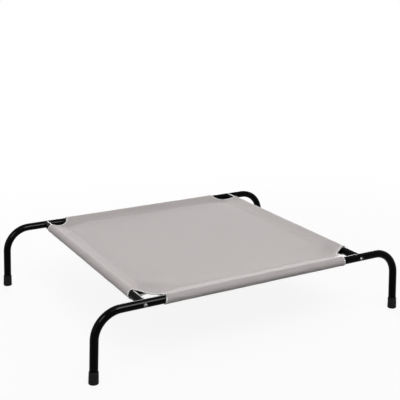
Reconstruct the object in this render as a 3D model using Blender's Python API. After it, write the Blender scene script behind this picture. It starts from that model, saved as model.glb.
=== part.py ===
"""Raised pet bed: two bent steel rails, two cross tubes and one sewn cover.

The rails run from left to right (X), the cross tubes from front to back (Y), and the
floor is at Z = 0.  The origin lies on the floor under the middle of the bed.
Everything is in metres and radians.
"""
import math

import bmesh
import bpy
from mathutils import Matrix, Vector

# Frame: driving dimensions
TUBE_OD = 0.022
TUBE_WALL = 0.0012
RAIL_AXIS_HEIGHT = 0.180
RAIL_SPACING = 0.721            # front rail axis to rear rail axis
CROSS_TUBE_SPACING = 0.668      # left cross tube axis to right cross tube axis
JOINT_TO_BEND = 0.059           # straight rail between a cross tube's axis and the bend
BEND_RADIUS = 0.0725            # of the rail's centre line
LEG_SPLAY = math.radians(3.0)   # each leg leans outward by this much
SEAT_GAP = 0.0003               # clearance between pieces that touch

# Mid-rail joint: the left half is swaged down and plugs into the right half
SPIGOT_LENGTH = 0.060
SWAGE_LENGTH = 0.008

# Rubber foot caps, pushed over the leg's end
CAP_HEIGHT = 0.032
CAP_FLOOR = 0.004
CAP_LIP_WALL = 0.0005           # wall at the very top edge
CAP_TOP_WALL = 0.0010           # wall just below the top chamfer
CAP_BOTTOM_WALL = 0.0016
CAP_TOP_CHAMFER = 0.003
CAP_BOTTOM_CHAMFER = 0.0015
CAP_TRIM = 0.003                # cut off under the sole, level with the floor

# Corner fasteners: a button-head bolt, a washer and a threaded plug in the cross tube
BOLT_DIAMETER = 0.006
BOLT_TIP = 0.0008               # chamfer on the bolt's end
BOLT_PROJECTION = 0.002         # how far the bolt comes out of the plug
BOLT_HOLE_CLEARANCE = 0.0003
HEAD_DIAMETER = 0.0105
HEAD_TOP_DIAMETER = 0.0060      # flat round the socket
HEAD_HEIGHT = 0.0033
SOCKET_ACROSS_FLATS = 0.004
SOCKET_DEPTH = 0.002
WASHER_DIAMETER = 0.012
WASHER_THICKNESS = 0.0012
PLUG_LENGTH = 0.015

# Cover: one cross-shaped sheet whose four flaps fold round the tubes
COVER_THICKNESS = 0.001
SEAM_INSET = 0.040              # tube axis to the stitched seam, inward
SEAM_RISE = 0.004               # the panel at the seam, above the tube axes
HEM_WIDTH = 0.012               # flap lying flat under the panel, past the seam
HEM_CLEARANCE = 0.0003
PANEL_SAG = 0.006
FLAP_SIDE_MARGIN = 0.002        # end flaps start this far past the side flaps' hems

# Corner cut-outs, inward from the corner joint along X and along Y.  The edge crosses the
# side sleeve, turns at its shoulder, slants over the panel by way of a knee, turns again at
# the rail sleeve's shoulder and crosses that sleeve.
FRONT_SIDE_SHOULDER = (0.021, 0.071)
FRONT_KNEE = (0.043, 0.044)
FRONT_RAIL_SHOULDER = (0.064, 0.034)
REAR_SIDE_SHOULDER = (0.010, 0.052)
REAR_KNEE = (0.047, 0.031)
REAR_RAIL_SHOULDER = (0.066, 0.004)
CUTOUT_ROUNDING = 0.005         # how far from each turn the edge starts to curve
MOUTH_SLANT = math.radians(10)  # a sleeve's mouth runs back to the joint on its outer side

# Facets
TUBE_RESOLUTION = 10            # gives 24 sides
ROUND_STEPS = 24
BEND_STEPS = 10
WRAP_STEPS = 14
PANEL_COLUMNS = 6
PANEL_ROWS = 5
ROUNDING_STEPS = 4
DOME_STEPS = 5
HEX = 6
CUTTER_REACH = 0.040            # cutters reach this far past the axis that they cut at
SMOOTH_ANGLE = math.radians(35)
MERGE_DISTANCE = 0.00001

# Worked out from the above
TUBE_RADIUS = TUBE_OD / 2
BORE_RADIUS = TUBE_RADIUS - TUBE_WALL
JOINT_X = CROSS_TUBE_SPACING / 2
RAIL_Y = RAIL_SPACING / 2
BEND_START_X = JOINT_X + JOINT_TO_BEND
BEND_ANGLE = math.pi / 2 - LEG_SPLAY
COPE_RADIUS = TUBE_RADIUS + SEAT_GAP
BOLT_HOLE_RADIUS = BOLT_DIAMETER / 2 + BOLT_HOLE_CLEARANCE
WASHER_INNER_Y = RAIL_Y + TUBE_RADIUS + SEAT_GAP
HEAD_SEAT_Y = WASHER_INNER_Y + WASHER_THICKNESS + SEAT_GAP
PLUG_FACE_Y = RAIL_Y - COPE_RADIUS - SEAT_GAP
BOLT_LENGTH = HEAD_SEAT_Y - PLUG_FACE_Y + PLUG_LENGTH + BOLT_PROJECTION
CORNERS = [(f"{end}_{hand}", side, front)
           for end, front in (("front", -1), ("rear", 1))
           for hand, side in (("left", -1), ("right", 1))]


def clear_scene():
    for item in list(bpy.data.objects):
        bpy.data.objects.remove(item, do_unlink=True)


def material(name, colour, roughness, metallic=0.0):
    """A plain Principled material."""
    made = bpy.data.materials.new(name)
    made.use_nodes = True
    shader = made.node_tree.nodes["Principled BSDF"]
    shader.inputs["Base Color"].default_value = (*colour, 1.0)
    shader.inputs["Roughness"].default_value = roughness
    shader.inputs["Metallic"].default_value = metallic
    return made


def add_object(name, data):
    made = bpy.data.objects.new(name, data)
    bpy.context.scene.collection.objects.link(made)
    return made


def add_piece(name, mesh, finish, parent):
    """A finished sub-part: smooth, in its own material, under the bed's empty."""
    made = add_object(name, mesh)
    if not mesh.materials:
        mesh.materials.append(finish)
    mesh.shade_smooth()
    mesh.set_sharp_from_angle(angle=SMOOTH_ANGLE)
    made.parent = parent
    return made


def mesh_from(bm, name):
    mesh = bpy.data.meshes.new(name)
    bmesh.ops.recalc_face_normals(bm, faces=bm.faces)
    bm.to_mesh(mesh)
    bm.free()
    return mesh


def baked(temporary):
    """The mesh of an object with its modifiers applied; the object itself goes."""
    graph = bpy.context.evaluated_depsgraph_get()
    mesh = bpy.data.meshes.new_from_object(temporary.evaluated_get(graph))
    bpy.data.objects.remove(temporary, do_unlink=True)
    return mesh


def make_cutter(name, mesh):
    made = add_object(name, mesh)
    made.hide_render = True
    made.display_type = "WIRE"
    return made


def cut(piece, cutter):
    modifier = piece.modifiers.new("cut_" + cutter.name, "BOOLEAN")
    modifier.operation = "DIFFERENCE"
    modifier.object = cutter


def cylinder_mesh(name, radius, length, steps=ROUND_STEPS):
    """A solid cylinder along Z, centred on its origin."""
    bm = bmesh.new()
    bmesh.ops.create_cone(bm, cap_ends=True, segments=steps, radius1=radius, radius2=radius,
                          depth=length)
    return mesh_from(bm, name)


def revolved_mesh(name, profile, closed):
    """Turn an outline in the XZ plane round Z; it runs down its outer side."""
    mesh = bpy.data.meshes.new(name)
    count = len(profile)
    edges = [(i, i + 1) for i in range(count - 1)]
    if closed:
        edges.append((count - 1, 0))
    mesh.from_pydata([(r, 0.0, z) for r, z in profile], edges, [])
    turned = add_object(name, mesh)
    screw = turned.modifiers.new("turn", "SCREW")
    screw.steps = ROUND_STEPS
    screw.render_steps = ROUND_STEPS
    screw.use_merge_vertices = True
    screw.merge_threshold = MERGE_DISTANCE
    return baked(turned)


def tube_mesh(name, points, radii):
    """A hollow tube along a path; each point has its own outer radius."""
    curve = bpy.data.curves.new(name, "CURVE")
    curve.dimensions = "3D"
    curve.bevel_depth = 1.0
    curve.bevel_resolution = TUBE_RESOLUTION
    spline = curve.splines.new("POLY")
    spline.points.add(len(points) - 1)
    for place, point, radius in zip(spline.points, points, radii):
        place.co = (*point, 1.0)
        place.radius = radius
    skin = baked(add_object(name, curve))
    tube = add_object(name, skin)
    wall = tube.modifiers.new("wall", "SOLIDIFY")
    wall.thickness = TUBE_WALL
    wall.offset = -1.0
    wall.use_even_offset = True
    return baked(tube)


def leg_direction(side):
    return Vector((side * math.sin(LEG_SPLAY), 0.0, -math.cos(LEG_SPLAY)))


def bend_points(side, rail_y):
    """The centre line's bend, from the end of the straight rail to the top of the leg."""
    centre_x = side * BEND_START_X
    centre_z = RAIL_AXIS_HEIGHT - BEND_RADIUS
    points = []
    for step in range(BEND_STEPS + 1):
        turn = BEND_ANGLE * step / BEND_STEPS
        points.append(Vector((centre_x + side * BEND_RADIUS * math.sin(turn), rail_y,
                              centre_z + BEND_RADIUS * math.cos(turn))))
    return points


def foot_centre(side, rail_y):
    """Where the leg's axis meets the floor."""
    top = bend_points(side, rail_y)[-1]
    direction = leg_direction(side)
    return top + direction * (top.z / -direction.z)


def rail_half_mesh(name, side, rail_y):
    """Half a rail with its leg.  The left half ends in a spigot, the right in a socket."""
    end_of_leg = foot_centre(side, rail_y) - leg_direction(side) * (CAP_FLOOR + SEAT_GAP)
    points = bend_points(side, rail_y) + [end_of_leg]
    radii = [TUBE_RADIUS] * len(points)
    if side < 0:
        spigot_radius = BORE_RADIUS - SEAT_GAP
        joint = [(SPIGOT_LENGTH, spigot_radius), (0.0, spigot_radius), (-SWAGE_LENGTH, TUBE_RADIUS)]
    else:
        joint = [(SEAT_GAP, TUBE_RADIUS)]
    ends = [Vector((x, rail_y, RAIL_AXIS_HEIGHT)) for x, radius in joint]
    return tube_mesh(name, ends + points, [radius for x, radius in joint] + radii)


def bolt_hole_cutter(name, side, rail_y):
    """A rod along Y through both walls of the rail, at a corner joint."""
    rod = make_cutter(name, cylinder_mesh(name, BOLT_HOLE_RADIUS, 2 * CUTTER_REACH))
    rod.rotation_euler = (math.pi / 2, 0.0, 0.0)
    rod.location = (side * JOINT_X, rail_y, RAIL_AXIS_HEIGHT)
    return rod


def add_rails(parent):
    black = material("black_gloss_steel", (0.008, 0.008, 0.009), 0.22, 0.2)
    for corner, side, front in CORNERS:
        name = f"{corner}_rail_leg"
        rail = add_piece(name, rail_half_mesh(name, side, front * RAIL_Y), black, parent)
        cut(rail, bolt_hole_cutter(f"{corner}_hole", side, front * RAIL_Y))


def add_cross_tubes(parent):
    """Straight tubes whose ends are coped to sit against the round rails."""
    black = material("black_gloss_cross_steel", (0.008, 0.008, 0.009), 0.22, 0.2)
    for hand, side in (("left", -1), ("right", 1)):
        name = f"{hand}_cross_tube"
        ends = [Vector((side * JOINT_X, y, RAIL_AXIS_HEIGHT)) for y in (-RAIL_Y, RAIL_Y)]
        tube = add_piece(name, tube_mesh(name, ends, [TUBE_RADIUS] * 2), black, parent)
        for end, front in (("front", -1), ("rear", 1)):
            rod_name = f"cope_{end}_{hand}"
            rod = make_cutter(rod_name, cylinder_mesh(rod_name, COPE_RADIUS,
                                                      2 * CUTTER_REACH, 2 * ROUND_STEPS))
            rod.rotation_euler = (0.0, math.pi / 2, 0.0)
            rod.location = (side * JOINT_X, front * RAIL_Y, RAIL_AXIS_HEIGHT)
            cut(tube, rod)


def foot_cap_mesh():
    """A cap tilted as the left leg is and cut level with the floor, origin under its middle.

    It is turned too long, because the tilt lifts one side of its sole off the floor.
    """
    bore = TUBE_RADIUS + SEAT_GAP
    top = bore + CAP_TOP_WALL
    bottom = bore + CAP_BOTTOM_WALL
    sole = bottom - CAP_BOTTOM_CHAMFER
    profile = [
        (0.0, CAP_FLOOR), (bore, CAP_FLOOR), (bore, CAP_HEIGHT),
        (bore + CAP_LIP_WALL, CAP_HEIGHT), (top, CAP_HEIGHT - CAP_TOP_CHAMFER),
        (bottom, CAP_BOTTOM_CHAMFER), (sole, -CAP_TRIM / 4), (sole, -CAP_TRIM), (0.0, -CAP_TRIM),
    ]
    cap = revolved_mesh("foot_cap", profile, closed=False)
    cap.transform(Matrix.Rotation(LEG_SPLAY, 4, "Y"))
    bm = bmesh.new()
    bm.from_mesh(cap)
    sliced = bmesh.ops.bisect_plane(bm, geom=bm.verts[:] + bm.edges[:] + bm.faces[:],
                                    plane_co=(0.0, 0.0, 0.0), plane_no=(0.0, 0.0, -1.0),
                                    clear_outer=True)
    rim = [item for item in sliced["geom_cut"] if isinstance(item, bmesh.types.BMEdge)]
    bmesh.ops.contextual_create(bm, geom=rim)
    return mesh_from(bm, "foot_cap")


def add_foot_caps(parent):
    rubber = material("black_rubber", (0.012, 0.012, 0.012), 0.7)
    mesh = foot_cap_mesh()
    for corner, side, front in CORNERS:
        cap = add_piece(f"{corner}_foot_cap", mesh, rubber, parent)
        cap.location = foot_centre(side, front * RAIL_Y)
        cap.rotation_euler = (0.0, 0.0, 0.0 if side < 0 else math.pi)


def bolt_mesh():
    """A button-head bolt along Z, its head's underside at Z = 0 and its shank below."""
    flat = HEAD_TOP_DIAMETER / 2
    dome = HEAD_DIAMETER / 2 - flat
    shank = BOLT_DIAMETER / 2
    profile = [(0.0, HEAD_HEIGHT)]
    for step in range(DOME_STEPS + 1):
        turn = math.pi / 2 * step / DOME_STEPS
        profile.append((flat + dome * math.sin(turn), HEAD_HEIGHT * math.cos(turn)))
    profile += [(shank, 0.0), (shank, BOLT_TIP - BOLT_LENGTH), (shank - BOLT_TIP, -BOLT_LENGTH),
                (0.0, -BOLT_LENGTH)]
    body = add_object("bolt", revolved_mesh("bolt", profile, closed=False))
    corner_radius = SOCKET_ACROSS_FLATS / math.sqrt(3)
    key = make_cutter("bolt_socket", cylinder_mesh("bolt_socket", corner_radius,
                                                   2 * SOCKET_DEPTH, HEX))
    key.location = (0.0, 0.0, HEAD_HEIGHT)
    key.rotation_euler = (0.0, 0.0, math.pi / ROUND_STEPS)
    cut(body, key)
    mesh = baked(body)
    bpy.data.objects.remove(key, do_unlink=True)
    return mesh


def ring_mesh(name, outer_radius, inner_radius, length):
    """A flat ring or a bored plug along Z, from Z = 0 up."""
    profile = [(outer_radius, length), (outer_radius, 0.0), (inner_radius, 0.0),
               (inner_radius, length)]
    return revolved_mesh(name, profile, closed=True)


def add_along_y(kind, mesh, finish, parent, distance, outward):
    """One piece of a kind at each corner, its own +Z turned to point out of or into the bed."""
    for corner, side, front in CORNERS:
        piece = add_piece(f"{corner}_{kind}", mesh, finish, parent)
        piece.rotation_euler = (-front * outward * math.pi / 2, 0.0, 0.0)
        piece.location = (side * JOINT_X, front * distance, RAIL_AXIS_HEIGHT)


def add_fasteners(parent):
    """Bolts and washers outside the rails, and the steel plugs that the bolts screw into."""
    bolt_zinc = material("zinc_plated_bolt", (0.45, 0.45, 0.44), 0.35, 0.9)
    washer_zinc = material("zinc_plated_washer", (0.48, 0.48, 0.47), 0.4, 0.9)
    steel = material("plain_steel_plug", (0.35, 0.35, 0.35), 0.45, 0.9)
    washer = ring_mesh("washer", WASHER_DIAMETER / 2, BOLT_HOLE_RADIUS, WASHER_THICKNESS)
    plug = ring_mesh("threaded_plug", BORE_RADIUS - SEAT_GAP, BOLT_HOLE_RADIUS, PLUG_LENGTH)
    add_along_y("bolt", bolt_mesh(), bolt_zinc, parent, HEAD_SEAT_Y, 1)
    add_along_y("washer", washer, washer_zinc, parent, WASHER_INNER_Y, 1)
    add_along_y("threaded_plug", plug, steel, parent, PLUG_FACE_Y, -1)


# The cover is worked out as its middle layer, which Solidify then thickens.
# A flap's section is in (inward, upward) from the tube's axis.
WRAP_RADIUS = TUBE_RADIUS + SEAT_GAP + COVER_THICKNESS / 2
LAYER_STEP = COVER_THICKNESS + HEM_CLEARANCE


def tangent_angle(inward, upward, sense):
    """Where a straight line from a point touches the wrap circle, as an angle from inward."""
    distance = math.hypot(inward, upward)
    return math.atan2(upward, inward) + sense * math.acos(WRAP_RADIUS / distance)


UPPER_ANGLE = tangent_angle(SEAM_INSET, SEAM_RISE, 1)
LOWER_ANGLE = tangent_angle(SEAM_INSET, SEAM_RISE - LAYER_STEP, -1)
UPPER_INSET = WRAP_RADIUS * math.cos(UPPER_ANGLE)
UPPER_RISE = WRAP_RADIUS * math.sin(UPPER_ANGLE)


def panel_height(x, y):
    """The middle layer's height over a point between the four tubes."""
    from_side = JOINT_X - abs(x)
    from_rail = RAIL_Y - abs(y)
    slope = (UPPER_RISE - SEAM_RISE) / (SEAM_INSET - UPPER_INSET)
    rise = slope * (max(0.0, SEAM_INSET - from_side) + max(0.0, SEAM_INSET - from_rail))
    across = min(1.0, abs(x) / (JOINT_X - SEAM_INSET))
    along = min(1.0, abs(y) / (RAIL_Y - SEAM_INSET))
    sag = PANEL_SAG * (1 - across ** 2) * (1 - along ** 2)
    return RAIL_AXIS_HEIGHT + SEAM_RISE + rise - sag


def spread(low, high, count):
    return [low + (high - low) * i / count for i in range(count + 1)]


def cover_lines():
    """The sheet's grid lines in X and in Y, from tube to tube."""
    end_flap_x = JOINT_X - SEAM_INSET - HEM_WIDTH - FLAP_SIDE_MARGIN
    seam_y = RAIL_Y - SEAM_INSET
    edge_x = [JOINT_X - UPPER_INSET, JOINT_X - SEAM_INSET]
    edge_y = RAIL_Y - UPPER_INSET
    columns = [-x for x in edge_x] + spread(-end_flap_x, end_flap_x, PANEL_COLUMNS) + edge_x[::-1]
    rows = [-edge_y] + spread(-seam_y, seam_y, PANEL_ROWS) + [edge_y]
    return columns, rows


def flap_section():
    """How a flap goes round its tube: insets and heights, the hem's heights left to the panel."""
    sweep = 2 * math.pi + LOWER_ANGLE - UPPER_ANGLE
    section = []
    for step in range(1, WRAP_STEPS + 1):
        angle = UPPER_ANGLE + sweep * step / WRAP_STEPS
        section.append((WRAP_RADIUS * math.cos(angle),
                        RAIL_AXIS_HEIGHT + WRAP_RADIUS * math.sin(angle)))
    return section + [(SEAM_INSET, None), (SEAM_INSET + HEM_WIDTH, None)]


def add_flap(bm, edge, place):
    """Carry the sheet on from its edge, round the tube and back under the panel."""
    spots = [vertex.co.copy() for vertex in edge]
    previous = edge
    for inset, height in flap_section():
        line = []
        for spot in spots:
            x, y = place(spot, inset)
            z = panel_height(x, y) - LAYER_STEP if height is None else height
            line.append(bm.verts.new((x, y, z)))
        for i in range(len(line) - 1):
            bm.faces.new((previous[i], previous[i + 1], line[i + 1], line[i]))
        previous = line


def cover_sheet():
    """The cover's middle layer: a panel with a flap on each of its four edges."""
    bm = bmesh.new()
    columns, rows = cover_lines()
    grid = [[bm.verts.new((x, y, panel_height(x, y))) for x in columns] for y in rows]
    for low, high in zip(grid, grid[1:]):
        for i in range(len(columns) - 1):
            bm.faces.new((low[i], low[i + 1], high[i + 1], high[i]))
    side_rows = grid[1:-1]
    rail_columns = slice(2, -2)     # the two outer lines at each end carry no rail flap
    add_flap(bm, [row[0] for row in side_rows], lambda spot, inset: (inset - JOINT_X, spot.y))
    add_flap(bm, [row[-1] for row in side_rows], lambda spot, inset: (JOINT_X - inset, spot.y))
    add_flap(bm, grid[0][rail_columns], lambda spot, inset: (spot.x, inset - RAIL_Y))
    add_flap(bm, grid[-1][rail_columns], lambda spot, inset: (spot.x, RAIL_Y - inset))
    return mesh_from(bm, "cover")


def cutout_outline(front):
    """The cut-out from above, inward from the joint; its turns are the second to fourth points."""
    if front < 0:
        side_turn, knee, rail_turn = FRONT_SIDE_SHOULDER, FRONT_KNEE, FRONT_RAIL_SHOULDER
    else:
        side_turn, knee, rail_turn = REAR_SIDE_SHOULDER, REAR_KNEE, REAR_RAIL_SHOULDER
    slope = math.tan(MOUTH_SLANT)
    side_mouth = (-CUTTER_REACH, side_turn[1] - slope * (side_turn[0] + CUTTER_REACH))
    rail_mouth = (rail_turn[0] - slope * (rail_turn[1] + CUTTER_REACH), -CUTTER_REACH)
    return [side_mouth, side_turn, knee, rail_turn, rail_mouth, (-CUTTER_REACH, -CUTTER_REACH)]


def cutout_cutter(name, side, front):
    """An upright post round a corner joint, which trims the panel and both sleeves."""
    bm = bmesh.new()
    base = [bm.verts.new((-side * x, -front * y, -CUTTER_REACH)) for x, y in cutout_outline(front)]
    raised = bmesh.ops.extrude_face_region(bm, geom=[bm.faces.new(base)])
    top = [item for item in raised["geom"] if isinstance(item, bmesh.types.BMVert)]
    bmesh.ops.translate(bm, verts=top, vec=(0.0, 0.0, 2 * CUTTER_REACH))
    turns = [edge for corner in base[1:4] for edge in corner.link_edges
             if edge.other_vert(corner) in top]
    bmesh.ops.bevel(bm, geom=turns, offset=CUTOUT_ROUNDING, segments=ROUNDING_STEPS,
                    profile=0.5, affect="EDGES", clamp_overlap=True)
    post = make_cutter(name, mesh_from(bm, name))
    post.location = (side * JOINT_X, front * RAIL_Y, RAIL_AXIS_HEIGHT)
    return post


def add_cover(parent):
    grey = material("grey_woven_fabric", (0.50, 0.45, 0.44), 0.85)
    cover = add_piece("sling_cover", cover_sheet(), grey, parent)
    layer = cover.modifiers.new("cloth", "SOLIDIFY")
    layer.thickness = COVER_THICKNESS
    layer.offset = 0.0
    layer.use_even_offset = True
    for corner, side, front in CORNERS:
        cut(cover, cutout_cutter(f"{corner}_cutout", side, front))


def build():
    clear_scene()
    bed = add_object("pet_bed", None)
    add_rails(bed)
    add_cross_tubes(bed)
    add_foot_caps(bed)
    add_fasteners(bed)
    add_cover(bed)
    bpy.context.view_layer.update()


build()
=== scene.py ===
# %% [markdown]
# # A raised dog bed
# The real bed is a low cot: bent steel tubes, two cross tubes and one sewn cloth that wraps
# all four sides and is pulled tight like a drum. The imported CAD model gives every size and
# place. This script adds what the eye reads: round glossy tubes, woven and stitched cloth,
# soft light and a camera.

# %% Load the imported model
import math

import bmesh
import bpy
from mathutils import Matrix, Vector, noise
from mathutils.geometry import delaunay_2d_cdt
from mathutils.kdtree import KDTree


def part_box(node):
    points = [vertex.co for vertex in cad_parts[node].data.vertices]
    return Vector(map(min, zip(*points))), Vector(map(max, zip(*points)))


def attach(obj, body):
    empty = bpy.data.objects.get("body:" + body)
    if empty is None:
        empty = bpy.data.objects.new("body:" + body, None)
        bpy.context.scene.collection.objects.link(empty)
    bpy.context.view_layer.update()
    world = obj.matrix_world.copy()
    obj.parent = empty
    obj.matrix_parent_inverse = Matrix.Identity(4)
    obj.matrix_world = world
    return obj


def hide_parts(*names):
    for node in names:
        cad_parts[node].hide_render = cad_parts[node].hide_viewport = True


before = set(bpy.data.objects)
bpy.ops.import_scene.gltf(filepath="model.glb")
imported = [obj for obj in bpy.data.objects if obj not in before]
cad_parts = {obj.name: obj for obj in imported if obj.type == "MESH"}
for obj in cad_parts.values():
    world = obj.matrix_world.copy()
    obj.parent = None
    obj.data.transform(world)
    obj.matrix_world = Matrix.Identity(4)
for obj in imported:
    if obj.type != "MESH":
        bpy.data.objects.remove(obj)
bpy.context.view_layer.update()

# %% [markdown]
# ## Sizes
# Most sizes are read from the frame, so the dressed pieces can't drift from the solids.
# The few that a bounding box can't give, such as a bend's radius, are named here once.
# Lengths are in metres.

# %% Read the frame's sizes
cross_low, cross_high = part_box("left_cross_tube")
rail_low, rail_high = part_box("front_left_rail_leg")
TUBE_RADIUS = (cross_high.x - cross_low.x) / 2
JOINT_X = -(cross_low.x + cross_high.x) / 2
RAIL_Y = -(rail_low.y + rail_high.y) / 2
AXIS_HEIGHT = cross_high.z - TUBE_RADIUS
TUBE_WALL = 0.0012
JOINT_TO_BEND = 0.059
BEND_RADIUS = 0.0725
LEG_SPLAY = math.radians(3.0)
SEAT_GAP = 0.0003
CORNERS = [(f"{end}_{hand}", side, front)
           for end, front in (("front", -1), ("rear", 1))
           for hand, side in (("left", -1), ("right", 1))]
print(f"tube {2000 * TUBE_RADIUS:.1f} mm, joints at x {JOINT_X:.4f}, rails at y {RAIL_Y:.4f}")

# %% [markdown]
# ## Camera
# The picture was taken from the front left and slightly above, with a long lens. A longer
# lens from further off keeps far and near legs closer in size than a phone's would.

# %% Place the camera
CAMERA_PLACE = (-1.1083, -2.0405, 0.9789)
CAMERA_TURN = math.radians(29.01)
CAMERA_TILT = math.radians(16.20)
LENS_MM = 73.68
SENSOR_MM = 36.0

scene = bpy.context.scene


def link_object(name, data):
    """An object in the scene that shows a mesh, a lamp or a camera."""
    made = bpy.data.objects.new(name, data)
    scene.collection.objects.link(made)
    return made


camera_data = bpy.data.cameras.new("photo_camera")
camera_data.sensor_width = SENSOR_MM
camera_data.lens = LENS_MM
camera = link_object("photo_camera", camera_data)
camera.location = CAMERA_PLACE
camera.rotation_euler = (math.pi / 2 - CAMERA_TILT, 0.0, -CAMERA_TURN)
scene.camera = camera
scene.view_settings.view_transform = "Standard"
print(f"camera {camera.location.length:.2f} m from the middle of the bed, {LENS_MM} mm lens")

# %% [markdown]
# ## Light
# A broad lamp low behind the right end makes the sleeves read as rolls, because cloth that
# leans towards it is brighter. Two fills, one high in front and one at the left, soften
# that. Matt cloth hardly shows where a lamp stands, but black gloss shows nothing else. So
# the tubes get lamps that only reflections see: two soft boxes in front draw the thin grey
# lines along the rails and bends, and a card behind draws the white line on the cross tubes.

# %% Hang the lamps
AIM = Vector((0.0, 0.0, AXIS_HEIGHT))


def add_lamp(name, place, size, power, lights_cloth=True, shows_in_gloss=True):
    """A soft lamp, so wide and so tall, that faces the bed from a place."""
    data = bpy.data.lights.new(name, "AREA")
    data.shape = "RECTANGLE"
    data.size, data.size_y = size
    data.energy = power
    lamp = link_object(name, data)
    lamp.location = place
    lamp.rotation_euler = (Vector(place) - AIM).to_track_quat("Z", "Y").to_euler()
    lamp.visible_camera = False
    lamp.visible_diffuse = lights_cloth
    lamp.visible_glossy = shows_in_gloss
    print(f"{name}: {power} W, {(Vector(place) - AIM).length:.1f} m away")


add_lamp("back_lamp", (1.00, 4.87, 0.80), (2.4, 1.4), 300.0, shows_in_gloss=False)
add_lamp("left_fill", (-4.60, -1.20, 1.60), (2.4, 2.4), 42.0)
add_lamp("front_fill", (0.0, -2.87, 4.28), (2.4, 2.4), 85.0)
add_lamp("back_card", (2.60, 4.20, 1.00), (3.2, 0.8), 145.0, lights_cloth=False)
add_lamp("right_box", (0.12, -1.29, 1.25), (0.67, 0.80), 70.0, lights_cloth=False)
add_lamp("left_box", (-1.65, -1.29, 1.45), (0.50, 0.85), 48.0, lights_cloth=False)

# %% [markdown]
# ### The pale surround
# A room's walls throw light at the bed from all sides. An even surround stands in for
# them: grey for the light that falls on the bed, but pure white where the camera looks,
# also by a reflection. A Light Path node tells these rays apart. The helpers place one
# node each, so that a tree of nodes reads like arithmetic.

# %% Helpers for node trees
def add_node(tree, kind, inputs=None, **settings):
    """A node with its settings; an input is a value or another node's output."""
    node = tree.nodes.new("ShaderNode" + kind)
    for setting, value in settings.items():
        setattr(node, setting, value)
    for socket, value in (inputs or {}).items():
        if isinstance(value, bpy.types.NodeSocket):
            tree.links.new(value, node.inputs[socket])
        else:
            node.inputs[socket].default_value = value
    return node


def math_node(tree, operation, *operands):
    """One step of arithmetic on numbers or other nodes' outputs."""
    return add_node(tree, "Math", dict(enumerate(operands)), operation=operation).outputs[0]


def between(tree, mask, low, high):
    """A number that goes from low to high as the mask goes from 0 to 1."""
    return math_node(tree, "MULTIPLY_ADD", mask, high - low, low)


def mix_tones(tree, mask, first, second):
    """A colour between two tones; each is a colour or another node's output."""
    ends = [(*tone, 1.0) if isinstance(tone, tuple) else tone for tone in (first, second)]
    return add_node(tree, "Mix", {"Factor": mask, "A": ends[0], "B": ends[1]},
                    data_type="RGBA").outputs["Result"]


def seen_mask(tree, path):
    """1 for what the camera sees, straight, mirrored or through glass, and 0 for light."""
    mirrored = math_node(tree, "MAXIMUM", path["Is Camera Ray"], path["Is Glossy Ray"])
    return math_node(tree, "MAXIMUM", mirrored, path["Is Transmission Ray"])


# %% Make the pale surround
AMBIENT = 0.43


def grey(level):
    return (level, level, level)


world = bpy.data.worlds.new("pale_surround")
scene.world = world
world.use_nodes = True
tree = world.node_tree
tree.nodes.clear()
seen = seen_mask(tree, add_node(tree, "LightPath").outputs)
tone = mix_tones(tree, seen, grey(AMBIENT), grey(1.0))
background = add_node(tree, "Background", {"Color": tone})
add_node(tree, "OutputWorld", {"Surface": background.outputs[0]})
print(f"surround lights the bed at {AMBIENT}")

# %% [markdown]
# ## Shared surface effects
# Several finishes need the same three things: threads that cross, a fine grain that breaks
# up a shine, and a thin film of dust on what faces up. Each is built once as a node group
# with named inputs, and every material places it with values of its own. A group gives
# only heights and masks. The shader itself stays in the material.

# %% Helpers for node groups
def open_group(name, socket, value):
    """A node group with one number as its input, and that number inside the group."""
    group = bpy.data.node_groups.new(name, "ShaderNodeTree")
    made = group.interface.new_socket(socket, in_out="INPUT", socket_type="NodeSocketFloat")
    made.default_value = value
    return group, group.nodes.new("NodeGroupInput").outputs[socket]


def close_group(group, **outputs):
    """Give the group its named outputs."""
    for socket in outputs:
        group.interface.new_socket(socket, in_out="OUTPUT", socket_type="NodeSocketFloat")
    sink = group.nodes.new("NodeGroupOutput")
    for socket, value in outputs.items():
        group.links.new(value, sink.inputs[socket])
    print(f"group {group.name} has {len(group.nodes)} nodes")
    return group


def place_group(tree, group, socket, value):
    """The outputs of a group that is placed in a material with a value of its own."""
    return add_node(tree, "Group", {socket: value}, node_tree=group).outputs


# %% [markdown]
# ### Crossing threads
# The cover is a plain weave: each thread goes over one and under the next. Two rows of
# round ridges, one along each direction of the cloth, take turns on top like the squares
# of a chess board. The pattern is laid on the flat cut of the cloth through its UV map,
# which is in metres, so the threads stay straight where the cloth turns round a tube. A
# stretched noise, the slub, makes some threads a little paler than others.

# %% Build the weave group
def noise_field(tree, scale, detail, place=None):
    """Noise at a place, or else in the object's own space, where it moves with the piece."""
    place = place or add_node(tree, "TexCoord").outputs["Object"]
    return add_node(tree, "TexNoise", {"Vector": place, "Scale": scale,
                                       "Detail": detail}).outputs["Fac"]


THREAD_COUNT = "Threads per Metre"
COVER_THREADS = 1100.0
UNDER_THREAD = 0.6
SLUBS_PER_METRE = (12.0, 420.0, 1.0)


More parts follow.
